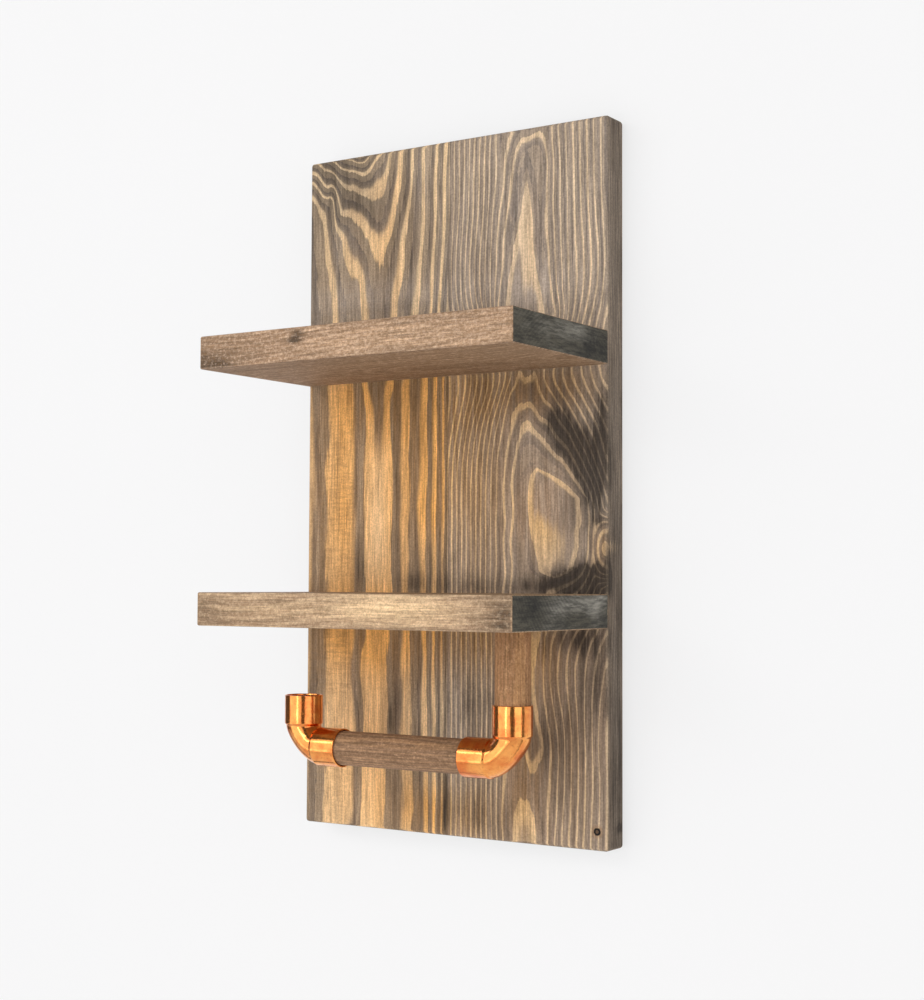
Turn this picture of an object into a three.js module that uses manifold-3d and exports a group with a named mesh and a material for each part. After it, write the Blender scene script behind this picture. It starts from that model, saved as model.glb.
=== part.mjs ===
// A wall-hung toilet paper holder: a pine back board of two planks, two shelves, and an L-shaped roll
// arm of dowel and copper pipe elbows that hangs under the lower shelf.
//
// Frame, in millimetres: +X to the right as a person faces the holder, +Y into the wall, +Z up.
// The origin is the middle of the back face, which lies flat on the wall.

import * as THREE from 'three';
import { mergeVertices } from 'three/addons/utils/BufferGeometryUtils.js';
import Module from 'manifold-3d';

const wasm = await Module();
wasm.setup();

// --- driving dimensions -------------------------------------------------------------------------

const GAP = 0.3; // left between pieces that are glued or screwed face to face

const BOARD_WIDTH = 232;
const BOARD_HEIGHT = 450;
const BOARD_THICK = 20.5;
const SEAM_X = -1.5; // glue line between the two planks

const SHELF_DEPTH = 110.7;
const SHELF_THICK = 20.9;
const UPPER_SHELF_UNDERSIDE = 70.6;
const LOWER_SHELF_UNDERSIDE = -90.7;

const DOWEL_RADIUS = 10.7;
const BAR_Z = -167.4; // height of the bar's axis
const ARM_Y = -73.6; // the arm's axes lie in this plane, half way out under the shelf
const POST_X = 81.2; // axis of the post and of the corner elbow's upper cup
const END_X = -75.6; // axis of the end elbow's upturned cup
const DOWEL_IN_CUP = 17; // how far a dowel reaches into a cup
const POST_IN_SHELF = 12; // how far the post reaches into the lower shelf

const ELBOW_REACH = 32.2; // from the corner of the elbow's axes to either mouth
const CUP_RADIUS = 12.15;
const CUP_LENGTH = 18;
const SHOULDER_LENGTH = 2;
const COPPER_WALL = 1.1;
const BEND_RADIUS_IN_PLANE = 10.6; // the bent tube is a little flattened
const BEND_RADIUS_ACROSS = 11.2;
const BEND_PULL = 4.7; // how far the bend's middle is drawn towards the corner of the axes

const SHELF_SCREW = { headRadius: 3.9, headHeight: 2.9, shankRadius: 1.9, length: 45, point: 6, sunk: 0.6 };
const HANGER_SCREW = { headRadius: 2.8, headHeight: 1.4, shankRadius: 1.4, length: 15, point: 4, sunk: 0 };
const RECESS_WIDTH = 0.9; // the cross recess of a screw head
const HOLE_CLEARANCE = 0.4; // round a screw in its hole
const CUT_PAST = 1; // a cutting tool runs this far past the face it opens
const SHELF_SCREW_X = [-95, -35, 35, 95];

const PLATE_WIDTH = 19;
const PLATE_HEIGHT = 42;
const PLATE_THICK = 1.5;
const PLATE_CORNER = 4;
const PLATE_X = 80; // one plate each side of the middle
const PLATE_Z = 190;
const PLATE_SCREW_OFFSET = 15.5;
const KEYHOLE_RADIUS = 4.8; // a wall screw's head goes in here
const KEYHOLE_SLOT_RADIUS = 2.5;
const KEYHOLE_RISE = 9; // from the centre of the round hole to the centre of the slot's end
const KEYHOLE_DROP = 4; // the round hole's centre lies this far below the plate's middle
const POCKET_WIDTH = 13;
const POCKET_HEIGHT = 23;
const POCKET_DEPTH = 10;

const ROUND_SEGMENTS = 32; // dowels and cups
const BEND_SEGMENTS = 20; // the bent tube and its knuckles
const BEND_STEPS = 5;
const SCREW_SEGMENTS = 16;

// --- values that follow from them ---------------------------------------------------------------

const BOARD_FRONT = -BOARD_THICK;
const SHELF_BACK = BOARD_FRONT - GAP;
const SHELF_FRONT = BOARD_FRONT - SHELF_DEPTH;
const CUP_START = ELBOW_REACH - CUP_LENGTH;
const BEND_START = CUP_START - SHOULDER_LENGTH;
const BORE_RADIUS = CUP_RADIUS - COPPER_WALL;
const POST_TOP = LOWER_SHELF_UNDERSIDE + POST_IN_SHELF - GAP;
const POST_BOTTOM = BAR_Z + ELBOW_REACH - DOWEL_IN_CUP;
const BAR_LEFT = END_X + ELBOW_REACH - DOWEL_IN_CUP;
const BAR_RIGHT = POST_X - ELBOW_REACH + DOWEL_IN_CUP;

// --- materials ----------------------------------------------------------------------------------

const stainedPine = { color: 0x7d6b58, roughness: 0.75, metalness: 0 };
const stainedDowel = { color: 0x756053, roughness: 0.75, metalness: 0 };
const copper = { color: 0xd98a52, roughness: 0.2, metalness: 1 };
const zincSteel = { color: 0xb9b4a4, roughness: 0.35, metalness: 1 };

// --- solids: joining and cutting ----------------------------------------------------------------

function toSolid(geometry) {
  const plain = geometry.clone();
  plain.deleteAttribute('normal');
  plain.deleteAttribute('uv');
  const merged = mergeVertices(plain, 1e-4);
  const index = merged.index.array;
  const corners = [];
  for (let i = 0; i < index.length; i += 3) {
    const [a, b, c] = [index[i], index[i + 1], index[i + 2]];
    // a triangle that closed up on the axis of a turned shape is dropped
    if (a !== b && b !== c && c !== a) corners.push(a, b, c);
  }
  return new wasm.Manifold(
    new wasm.Mesh({
      numProp: 3,
      vertProperties: Float32Array.from(merged.attributes.position.array),
      triVerts: Uint32Array.from(corners),
    }),
  );
}

function toGeometry(solid) {
  const mesh = solid.getMesh();
  const geometry = new THREE.BufferGeometry();
  geometry.setAttribute('position', new THREE.BufferAttribute(mesh.vertProperties, 3));
  geometry.setIndex(new THREE.BufferAttribute(mesh.triVerts, 1));
  geometry.computeVertexNormals();
  return geometry;
}

function join(solids) {
  return solids.reduce((whole, next) => whole.add(next));
}

function cut(solid, tools) {
  return tools.reduce((left, tool) => left.subtract(tool), solid);
}

function block(low, high) {
  const size = high.map((value, axis) => value - low[axis]);
  const middle = high.map((value, axis) => (value + low[axis]) / 2);
  return toSolid(new THREE.BoxGeometry(...size).translate(...middle));
}

// A turned solid about +Z from [radius, height] pairs, given from the bottom up.
function turned(profile, segments) {
  const points = profile.map(([radius, height]) => new THREE.Vector2(radius, height));
  return toSolid(new THREE.LatheGeometry(points, segments).rotateX(Math.PI / 2));
}

function rod(radius, bottom, top, segments) {
  return turned([[0, bottom], [radius, bottom], [radius, top], [0, top]], segments);
}

// --- screws and the holes for them --------------------------------------------------------------

// A countersunk wood screw along +Z with its head's face at z = 0 and its point below.
function screwSolid({ headRadius, headHeight, shankRadius, length, point }) {
  const body = turned(
    [
      [0, -length],
      [shankRadius, point - length],
      [shankRadius, -headHeight],
      [headRadius, -GAP],
      [headRadius, 0],
      [0, 0],
    ],
    SCREW_SEGMENTS,
  );
  const reach = headRadius * 0.6;
  const depth = headHeight * 0.7;
  const half = RECESS_WIDTH / 2;
  return cut(body, [
    block([-reach, -half, -depth], [reach, half, CUT_PAST]),
    block([-half, -reach, -depth], [half, reach, CUT_PAST]),
  ]);
}

// The hole that such a screw sits in, with its mouth at z = 0. The screw's head lies `sunk` below it.
function screwHole({ headRadius, headHeight, shankRadius, length, sunk }) {
  const bore = shankRadius + HOLE_CLEARANCE;
  const mouth = headRadius + HOLE_CLEARANCE;
  const bottom = -length - sunk - CUT_PAST;
  return turned(
    [
      [0, bottom],
      [bore, bottom],
      [bore, -headHeight - sunk - HOLE_CLEARANCE],
      [mouth, -sunk - HOLE_CLEARANCE],
      [mouth, CUT_PAST],
      [0, CUT_PAST],
    ],
    SCREW_SEGMENTS,
  );
}

// A screw or its hole is made along +Z. This turns it to be driven from the back, towards -Y.
function fromBack(solid, x, y, z) {
  return solid.rotate([-90, 0, 0]).translate([x, y, z]);
}

function shelfScrewPlaces() {
  const undersides = { upper: UPPER_SHELF_UNDERSIDE, lower: LOWER_SHELF_UNDERSIDE };
  return Object.entries(undersides).flatMap(([level, underside]) =>
    SHELF_SCREW_X.map((x, i) => ({ level, x, z: underside + SHELF_THICK / 2, number: i + 1 })),
  );
}

function shelfScrewHoles() {
  return shelfScrewPlaces().map(({ x, z }) => fromBack(screwHole(SHELF_SCREW), x, 0, z));
}

// --- the back board -----------------------------------------------------------------------------

function hangerSeats() {
  return [-PLATE_X, PLATE_X].flatMap((x) => {
    const recess = plateOutline(GAP);
    const keyholeMiddle = PLATE_Z - KEYHOLE_DROP + KEYHOLE_RISE / 2;
    return [
      plateSolid(recess, PLATE_THICK + GAP, CUT_PAST).translate([x, 0, PLATE_Z]),
      block(
        [x - POCKET_WIDTH / 2, -POCKET_DEPTH, keyholeMiddle - POCKET_HEIGHT / 2],
        [x + POCKET_WIDTH / 2, 0, keyholeMiddle + POCKET_HEIGHT / 2],
      ),
      ...[-1, 1].map((side) => fromBack(screwHole(HANGER_SCREW), x, 0, PLATE_Z + side * PLATE_SCREW_OFFSET)),
    ];
  });
}

function plank(left, right) {
  const board = block([left, BOARD_FRONT, -BOARD_HEIGHT / 2], [right, 0, BOARD_HEIGHT / 2]);
  return cut(board, [...shelfScrewHoles(), ...hangerSeats()]);
}

// --- shelves ------------------------------------------------------------------------------------

function shelf(underside) {
  const half = BOARD_WIDTH / 2;
  const board = block([-half, SHELF_FRONT, underside], [half, SHELF_BACK, underside + SHELF_THICK]);
  return cut(board, shelfScrewHoles());
}

function lowerShelf() {
  const top = LOWER_SHELF_UNDERSIDE + SHELF_THICK;
  const postSeat = rod(
    DOWEL_RADIUS + GAP,
    LOWER_SHELF_UNDERSIDE - CUT_PAST,
    LOWER_SHELF_UNDERSIDE + POST_IN_SHELF,
    ROUND_SEGMENTS,
  );
  return cut(shelf(LOWER_SHELF_UNDERSIDE), [
    postSeat.translate([POST_X, ARM_Y, 0]),
    screwHole(SHELF_SCREW).translate([POST_X, ARM_Y, top]),
  ]);
}

// --- the roll arm -------------------------------------------------------------------------------

function postDowel() {
  const top = LOWER_SHELF_UNDERSIDE + SHELF_THICK;
  const post = rod(DOWEL_RADIUS, POST_BOTTOM, POST_TOP, ROUND_SEGMENTS).translate([POST_X, ARM_Y, 0]);
  return cut(post, [screwHole(SHELF_SCREW).translate([POST_X, ARM_Y, top])]);
}

function barDowel() {
  const bar = rod(DOWEL_RADIUS, BAR_LEFT, BAR_RIGHT, ROUND_SEGMENTS);
  return bar.rotate([0, 90, 0]).translate([0, ARM_Y, BAR_Z]);
}

// The bent tube between the two cups, thinner all round by `inset`.
function bend(inset) {
  const inPlane = BEND_RADIUS_IN_PLANE - inset;
  const across = BEND_RADIUS_ACROSS - inset;
  const path = new THREE.QuadraticBezierCurve3(
    new THREE.Vector3(0, 0, BEND_START),
    new THREE.Vector3(BEND_PULL, 0, BEND_PULL),
    new THREE.Vector3(BEND_START, 0, 0),
  );
  const section = new THREE.Shape().absellipse(0, 0, across, inPlane, 0, 2 * Math.PI);
  const tube = new THREE.ExtrudeGeometry(section, {
    extrudePath: path,
    steps: BEND_STEPS,
    curveSegments: BEND_SEGMENTS / 2,
    bevelEnabled: false,
  });
  const knuckle = () =>
    new THREE.SphereGeometry(inPlane, BEND_SEGMENTS, BEND_SEGMENTS / 2).scale(1, across / inPlane, 1);
  return join([
    toSolid(tube),
    toSolid(knuckle().translate(0, 0, BEND_START)),
    toSolid(knuckle().translate(BEND_START, 0, 0)),
  ]);
}

// Two turned shapes of one profile, one up +Z and one along +X.
function bothWays(profile) {
  const up = turned(profile, ROUND_SEGMENTS);
  return [up, up.rotate([0, 90, 0])];
}

// An end-feed elbow with one cup up +Z and one along +X. Its axes cross at the origin.
function elbowSolid() {
  const throat = BEND_RADIUS_IN_PLANE - COPPER_WALL;
  const outside = join([
    ...bothWays([
      [0, BEND_START - 1],
      [BEND_RADIUS_IN_PLANE, BEND_START - 1],
      [BEND_RADIUS_IN_PLANE, BEND_START],
      [CUP_RADIUS, CUP_START],
      [CUP_RADIUS, ELBOW_REACH],
      [0, ELBOW_REACH],
    ]),
    bend(0),
  ]);
  const inside = join([
    ...bothWays([
      [0, BEND_START - 2],
      [throat, BEND_START - 2],
      [throat, CUP_START],
      [BORE_RADIUS, CUP_START],
      [BORE_RADIUS, ELBOW_REACH + CUT_PAST],
      [0, ELBOW_REACH + CUT_PAST],
    ]),
    bend(COPPER_WALL),
  ]);
  return outside.subtract(inside);
}

// --- keyhole hanger plates ----------------------------------------------------------------------

// The plate's rounded outline, larger all round by `extra`, drawn as x across and y up.
function plateOutline(extra) {
  const halfWidth = PLATE_WIDTH / 2 + extra;
  const halfHeight = PLATE_HEIGHT / 2 + extra;
  const r = PLATE_CORNER + extra;
  const outline = new THREE.Shape();
  outline.absarc(halfWidth - r, halfHeight - r, r, 0, Math.PI / 2);
  outline.absarc(r - halfWidth, halfHeight - r, r, Math.PI / 2, Math.PI);
  outline.absarc(r - halfWidth, r - halfHeight, r, Math.PI, 1.5 * Math.PI);
  outline.absarc(halfWidth - r, r - halfHeight, r, 1.5 * Math.PI, 2 * Math.PI);
  return outline;
}

function keyhole() {
  const shoulder = Math.acos(KEYHOLE_SLOT_RADIUS / KEYHOLE_RADIUS);
  const hole = new THREE.Path();
  hole.absarc(0, KEYHOLE_RISE - KEYHOLE_DROP, KEYHOLE_SLOT_RADIUS, 0, Math.PI);
  hole.absarc(0, -KEYHOLE_DROP, KEYHOLE_RADIUS, Math.PI - shoulder, 2 * Math.PI + shoulder);
  return hole;
}

// An outline drawn in x and z, from y = -depth to y = proud.
function plateSolid(outline, depth, proud) {
  const sheet = new THREE.ExtrudeGeometry(outline, {
    depth: depth + proud,
    curveSegments: 8,
    bevelEnabled: false,
  });
  return toSolid(sheet.rotateX(Math.PI / 2).translate(0, proud, 0));
}

function hangerPlate() {
  const outline = plateOutline(0);
  outline.holes.push(keyhole());
  const holes = [-1, 1].map((side) => fromBack(screwHole(HANGER_SCREW), 0, 0, side * PLATE_SCREW_OFFSET));
  return cut(plateSolid(outline, PLATE_THICK, 0), holes);
}

// --- the assembly -------------------------------------------------------------------------------

const DRIVEN_FROM_BACK = [-Math.PI / 2, 0, 0];
const group = new THREE.Group();

function place(name, solid, finish, position = [0, 0, 0], turn = [0, 0, 0]) {
  const mesh = new THREE.Mesh(toGeometry(solid), new THREE.MeshStandardMaterial(finish));
  mesh.name = name;
  mesh.position.set(...position);
  mesh.rotation.set(...turn);
  group.add(mesh);
}

function addBoards() {
  place('back_plank_left', plank(-BOARD_WIDTH / 2, SEAM_X - GAP / 2), stainedPine);
  place('back_plank_right', plank(SEAM_X + GAP / 2, BOARD_WIDTH / 2), stainedPine);
  place('upper_shelf', shelf(UPPER_SHELF_UNDERSIDE), stainedPine);
  place('lower_shelf', lowerShelf(), stainedPine);
}

function addArm() {
  place('post_dowel', postDowel(), stainedDowel);
  place('bar_dowel', barDowel(), stainedDowel);
  place('corner_elbow', elbowSolid(), copper, [POST_X, ARM_Y, BAR_Z], [0, 0, Math.PI]);
  place('end_elbow', elbowSolid(), copper, [END_X, ARM_Y, BAR_Z]);
}

function addShelfScrews() {
  for (const { level, x, z, number } of shelfScrewPlaces()) {
    const name = `${level}_shelf_screw_${number}`;
    place(name, screwSolid(SHELF_SCREW), zincSteel, [x, -SHELF_SCREW.sunk, z], DRIVEN_FROM_BACK);
  }
  const headHeight = LOWER_SHELF_UNDERSIDE + SHELF_THICK - SHELF_SCREW.sunk;
  place('post_screw', screwSolid(SHELF_SCREW), zincSteel, [POST_X, ARM_Y, headHeight]);
}

function addHangers() {
  for (const [name, x] of Object.entries({ left: -PLATE_X, right: PLATE_X })) {
    place(`${name}_hanger_plate`, hangerPlate(), zincSteel, [x, 0, PLATE_Z]);
    for (const [end, side] of Object.entries({ lower: -1, upper: 1 })) {
      const spot = [x, -HANGER_SCREW.sunk, PLATE_Z + side * PLATE_SCREW_OFFSET];
      place(`${name}_hanger_${end}_screw`, screwSolid(HANGER_SCREW), zincSteel, spot, DRIVEN_FROM_BACK);
    }
  }
}

addBoards();
addArm();
addShelfScrews();
addHangers();

export default group;
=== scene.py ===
import math
from contextlib import contextmanager

import bmesh
import bpy
import numpy as np
from mathutils import Matrix, Vector, noise


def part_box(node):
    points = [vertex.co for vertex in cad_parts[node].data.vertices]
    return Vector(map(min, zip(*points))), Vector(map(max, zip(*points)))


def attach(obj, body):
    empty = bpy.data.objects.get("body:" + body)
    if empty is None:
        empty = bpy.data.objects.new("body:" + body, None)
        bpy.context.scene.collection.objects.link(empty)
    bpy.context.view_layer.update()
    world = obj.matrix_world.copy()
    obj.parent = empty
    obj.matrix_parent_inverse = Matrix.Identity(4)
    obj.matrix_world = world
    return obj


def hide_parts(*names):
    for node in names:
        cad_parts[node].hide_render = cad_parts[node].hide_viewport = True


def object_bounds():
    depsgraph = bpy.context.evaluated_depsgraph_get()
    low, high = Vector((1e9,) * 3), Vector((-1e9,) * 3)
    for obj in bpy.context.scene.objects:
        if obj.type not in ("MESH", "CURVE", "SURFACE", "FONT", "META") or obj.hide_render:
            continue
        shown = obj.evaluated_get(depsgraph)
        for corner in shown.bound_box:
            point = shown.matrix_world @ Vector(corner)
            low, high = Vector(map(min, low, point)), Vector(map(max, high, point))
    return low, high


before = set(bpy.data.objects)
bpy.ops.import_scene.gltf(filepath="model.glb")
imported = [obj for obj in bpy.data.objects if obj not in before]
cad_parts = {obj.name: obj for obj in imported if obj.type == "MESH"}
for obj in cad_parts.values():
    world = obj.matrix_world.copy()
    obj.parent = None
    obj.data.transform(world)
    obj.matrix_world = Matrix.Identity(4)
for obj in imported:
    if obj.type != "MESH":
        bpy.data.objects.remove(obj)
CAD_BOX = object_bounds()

# A holder for toilet paper: a board of two stained planks, two shelves, and a roll bar of dowels and
# copper elbows. The board's back lies on y = 0 and its front faces -Y.

MM = 0.001
LOW, HIGH = CAD_BOX

# --- places and sizes that come from the frame ---------------------------------------------------

LEFT_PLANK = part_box("back_plank_left")
RIGHT_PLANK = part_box("back_plank_right")
UPPER_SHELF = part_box("upper_shelf")
LOWER_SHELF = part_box("lower_shelf")
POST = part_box("post_dowel")
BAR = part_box("bar_dowel")
END_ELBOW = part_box("end_elbow")

SEAM_X = (LEFT_PLANK[1].x + RIGHT_PLANK[0].x) / 2
BOARD_FRONT = LEFT_PLANK[0].y
BOARD_LEFT = LOW.x
BOARD_FOOT = LOW.z
BOARD_WIDTH = (HIGH.x - LOW.x) / MM
ARM_Y = (POST[0].y + POST[1].y) / 2
POST_X = (POST[0].x + POST[1].x) / 2
BAR_Z = (BAR[0].z + BAR[1].z) / 2
DOWEL_RADIUS = (POST[1].x - POST[0].x) / 2
CUP_RADIUS = (END_ELBOW[1].y - END_ELBOW[0].y) / 2
END_X = END_ELBOW[0].x + CUP_RADIUS
ELBOW_REACH = END_ELBOW[1].z - BAR_Z

SCREW_NODES = sorted(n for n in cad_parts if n.endswith("screw") or "_screw_" in n)
HANGER_PLATES = sorted(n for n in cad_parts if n.endswith("hanger_plate"))

# --- sizes of the finer surface, in millimetres unless named otherwise ---------------------------

GRID_STEP = 2.0 * MM  # spacing of the mesh that carries the growth rings
BOARD_ARRIS = 2.0 * MM
SHELF_ARRIS = 1.1 * MM
COPPER_WALL = 1.1 * MM
CUP_LENGTH = 18.0 * MM
SHOULDER_LENGTH = 2.0 * MM
TUBE_RADIUS = 11.2 * MM
RIM_FILLET = 0.3 * MM
THROAT_RADIUS = 9.9 * MM
ROUND_SEGMENTS = 96
SCREW_SEGMENTS = 32

# --- camera --------------------------------------------------------------------------------------

CAMERA_PLACE = Vector((0.6043, -0.9249, -0.0629))
CAMERA_FORWARD = Vector((-0.54856, 0.83469, 0.04875))
CAMERA_ROLL = math.radians(0.24)
CAMERA_LENS = 60.68
SENSOR_WIDTH = 36.0

# --- stage, in metres ----------------------------------------------------------------------------

WALL_Y = 1.5 * MM
FLOOR_Z = -1.6
STAGE_SPAN = (-6.0, 6.0)
LIGHT_AIM = Vector((0, -0.05, 0))
WORLD_GLOW = 0.36
WORLD_SEEN = 0.93  # what the camera sees of it


# --- growth rings --------------------------------------------------------------------------------
# Each line is a growth ring's number and places on it, in millimetres from the board's left bottom
# corner as seen from the front. Whole numbers are the pale lines' middles.

LEFT_RINGS = [
    (3.15, [(0, 300), (0, 240), (0, 170), (0, 100), (0, 30), (0, 5)]),
    (3.5, [(3, 395), (8, 350), (10, 290), (10, 240), (10, 200), (10, 160), (9, 120), (9, 70), (9, 20)]),
    (3.8, [(16, 290), (16.5, 240), (16.5, 170), (16.5, 130), (16, 90), (16, 50), (16, 10), (0, 424), (10, 403),
     (16, 370), (20, 340)]),
    (4.2, [(38, 290), (39, 240), (39, 170), (40, 120), (41, 60), (40, 10), (6, 425), (15, 407), (20, 380),
     (25, 340)]),
    (4.6, [(43, 290), (44, 240), (45, 170), (44, 110), (45, 50), (44, 5), (20, 402), (28, 372), (36, 340)]),
    (4.82, [(47.5, 288), (49.5, 240), (51, 200), (51, 150), (48, 110), (49, 50), (48, 5), (0, 436), (17, 424),
     (26, 395), (31, 376), (40, 366), (45, 340)]),
    (5.15, [(51.5, 288), (56, 255), (59, 232), (64, 290), (62, 262), (50, 340), (70, 345), (44, 372), (34, 385),
     (84, 440), (81, 410), (76, 375)]),
    (5.08, [(60, 190), (60, 150), (58, 100), (57, 50), (56, 5)]),
    (4.82, [(71, 290), (70, 240), (69.5, 200), (71, 150), (67, 110), (65, 50), (65, 5), (74, 345), (80, 380),
     (84, 410), (87, 448)]),
    (4.5, [(74, 290), (73, 240), (74, 170), (75, 150), (74, 110), (73, 50), (72, 5), (80, 350), (88, 410),
     (90, 449)]),
    (4.2, [(78, 290), (78, 240), (77.5, 200), (79, 160), (78, 110), (78, 50), (79, 5), (86, 345), (92, 400),
     (92.5, 448)]),
    (3.8, [(85, 290), (84, 240), (83.5, 200), (84, 160), (87, 110), (87, 50), (88, 5), (92, 345), (97, 400),
     (98, 448)]),
    (3.5, [(90, 290), (90, 240), (90, 170), (93, 110), (94, 50), (94, 5), (97, 345), (102, 448)]),
    (3.0, [(96.5, 290), (96.5, 240), (96.5, 170), (98, 110), (99, 50), (99, 5), (101.5, 345), (105, 448)]),
    (2.0, [(105, 290), (105, 240), (105, 170), (104, 110), (105, 50), (105, 5), (107.5, 345), (112, 448)]),
    (1.0, [(111, 290), (111, 240), (111, 170), (110.5, 110), (111, 50), (111, 5), (114, 345)]),
    (5.6, [(56, 350), (57, 320), (56, 296), (33, 405), (50, 380), (68, 385), (79, 425), (81, 449), (12, 430)]),
    (6.0, [(60, 385), (53, 394), (42, 407), (26, 414), (15, 431), (0, 444), (67, 395), (72, 418), (75.5, 449)]),
    (6.5, [(56, 402), (35, 420), (18, 438), (70, 432), (72, 449)]),
    (7.0, [(57, 426), (43, 426), (28, 432), (14, 444), (66, 437), (67.5, 449)]),
    (7.5, [(50, 433), (63, 446), (30, 438)]),
    (8.0, [(37, 440), (24, 445), (52, 442), (58.5, 449)]),
    (9.0, [(42, 445.5), (33, 449), (50, 449)]),
    (10.0, [(42, 450)]),
]
RIGHT_RINGS = [
    (-0.3, [(172, 385), (171, 350), (190, 212), (183, 212)]),
    (0.3, [(172, 421), (169.5, 402), (164, 391), (161.5, 376), (160, 361), (158, 343), (176, 402), (177, 391),
     (178.5, 376), (181, 361), (186, 343)]),
    (0.05, [(173, 403), (172.5, 411), (171, 394)]),
    (0.3, [(172.5, 222), (176, 233), (188, 232), (200, 225), (212, 214), (215, 200), (215, 192), (175, 205),
     (178, 190), (184, 174), (193, 168), (206, 169), (214, 176)]),
    (1.0, [(153.5, 335), (155, 352), (157, 375), (162, 410), (165, 431), (169, 441), (178, 444), (186, 441),
     (189, 428)]),
    (1.6, [(177, 449)]),
    (1.0, [(189, 400), (190.5, 370), (193, 340), (195, 328), (162.5, 160), (162.5, 190), (163.5, 225),
     (167, 246), (175, 261), (185, 252), (200, 238), (215, 217), (219, 205)]),
    (2.0, [(150.5, 345), (152, 380), (156, 410), (160, 438), (164, 449), (192.5, 449), (197, 340), (194.5, 370),
     (193, 400), (193, 435), (159, 165), (158.5, 200), (158.5, 235), (163, 258), (172, 273.5), (184, 265),
     (198, 250), (212, 231), (221, 214)]),
    (3.0, [(162.5, 282), (166.5, 288), (172.5, 291), (178, 290), (183, 285)]),
    (2.5, [(172.5, 282)]),
    (3.5, [(174, 300)]),
    (3.8, [(175, 304)]),
    (0.8, [(173, 4), (172, 12)]),
    (1.0, [(166.5, 3), (169, 15), (172.5, 24), (177, 15), (180, 3)]),
    (1.3, [(173, 31)]),
    (1.5, [(161, 6), (162, 26), (166, 38), (175, 38), (184, 30), (186, 8), (171, 48), (187, 45)]),
    (1.0, [(180, 120), (178.5, 128), (184, 128), (173.5, 60), (175.5, 53), (178, 48), (182.5, 53), (186, 60)]),
    (0.7, [(179.5, 64)]),
    (2.0, [(157, 10), (159, 40), (159, 66), (190, 75), (192, 40), (190, 8), (188, 128), (187, 100)]),
]
# Either side of that, the rings run side by side: height, place of ring 3, and spacing.
RIGHT_FLANK_TOWARDS_SEAM = [
    (5, 153, 3.85), (45, 153, 3.85), (85, 153, 3.85), (125, 152.4, 3.8), (160, 151.2, 3.65), (200, 151.5, 3.7),
    (240, 152.5, 3.75), (268, 158, 3.8), (292, 167, 4.3), (345, 147, 3.65), (400, 148.8, 3.8),
    (447, 150.5, 3.95),
]
RIGHT_FLANK_TOWARDS_EDGE = [
    (6, 195, 5.1), (40, 197, 4.9), (75, 196, 5.0), (100, 191.5, 6.1), (128, 194, 7.0), (238, 214, 4.2),
    (254, 204.5, 5.4), (272, 192, 6.2), (292, 180.5, 6.6), (345, 200, 4.85), (400, 198.5, 4.95),
    (447, 197, 5.0),
]
FLANK_RINGS = range(3, 13)
RING_HEIGHT_SCALE = 0.45  # rings stretch along the plank, so heights count less than widths
RING_SLACK = 2.5  # how far the fitted field may pass the given places
RING_DEPTH_PITCH = 3.6  # ring spacing through the plank's thickness
PITH_X = {"left": 58, "right": 175}  # each plank's pith, and how far behind the front it lies
PITH_DEPTH = 34
SIDE_RING_PITCH = 3.1  # on the board's two side faces
SIDE_SHARE = 0.1
SIDE_SPOT = (13, 17, 3, 4, 0.9)  # height, depth, their reaches, and strength
FRONT_DEPTH = 4  # how deep the front's colours reach round the edges
# Off the front, the board's sides, ends and back are darkened: painted shade for the less-lit side faces.
PAINTED_SHADE_AWAY_FROM_FRONT = 0.54


def right_rings():
    lines = list(RIGHT_RINGS)
    for ring in FLANK_RINGS:
        steps = ring - FLANK_RINGS.start
        seam_side = [(x - spacing * steps, z) for z, x, spacing in RIGHT_FLANK_TOWARDS_SEAM]
        edge_side = [(x + spacing * steps, z) for z, x, spacing in RIGHT_FLANK_TOWARDS_EDGE]
        lines.append((ring, [p for p in seam_side + edge_side if 113 < p[0] < 234]))
    return lines


def ring_field(lines):
    """A smooth surface, a thin plate, through the given places. Returns ring(x, z), in millimetres."""
    places = np.array([(x, z * RING_HEIGHT_SCALE) for _, points in lines for x, z in points], float)
    values = np.array([ring for ring, points in lines for _ in points], float)

    def plate(a, b):
        square = ((a[:, None, :] - b[None, :, :]) ** 2).sum(-1)
        return 0.5 * square * np.log(np.maximum(square, 1e-12))

    count = len(places)
    slope = np.c_[np.ones(count), places]
    bend = plate(places, places) + np.eye(count) * RING_SLACK
    system = np.block([[bend, slope], [slope.T, np.zeros((3, 3))]])
    weights = np.linalg.solve(system, np.r_[values, 0, 0, 0])

    def ring(x, z):
        at = np.c_[x, z * RING_HEIGHT_SCALE]
        out = np.empty(len(at))
        for start in range(0, len(at), 20000):
            part = at[start:start + 20000]
            out[start:start + 20000] = plate(part, places) @ weights[:count]
            out[start:start + 20000] += np.c_[np.ones(len(part)), part] @ weights[count:]
        return out

    return ring


def patches(x, z, spots):
    """Soft round patches: each spot is its middle, its reach across and up, and its strength."""
    total = np.zeros(len(x))
    for cx, cz, across, up, strength in spots:
        total += strength * np.exp(-((x - cx) / across) ** 2 - ((z - cz) / up) ** 2)
    return total


# Two hearts of pale wood inside the arches: height, left edge and right edge. Where the left edge
# passes the right one the heart has closed.
FLAME = [
    (318, 157, 190), (339, 157, 187), (350, 158.5, 183.8), (361, 161, 181), (375, 163.8, 178.8),
    (396, 169, 178), (408, 171.3, 176.6), (419, 173.2, 174.6), (432, 178, 170), (446, 184, 164),
]
BLOB = [
    (155, 204, 184), (165, 196, 194), (166.4, 186, 203), (169.5, 182, 208), (184, 179.2, 212.5),
    (193, 176.5, 213), (199, 175.3, 214.7), (213.7, 173.5, 214), (221, 173.7, 206), (225.5, 174.2, 199.5),
    (230, 176, 191), (233.5, 179.5, 184), (240, 188, 176),
]
HEART_PALE = [(189, 184, 16, 19, 1.0), (183, 200, 6, 14, 0.3), (178, 386, 10, 36, 1.5)]
HEART_EDGE = 0.22  # the ring number on the outline
HEART_PITCH = (13.0, 6.4)  # ring spacing inside and outside the outline
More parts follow.
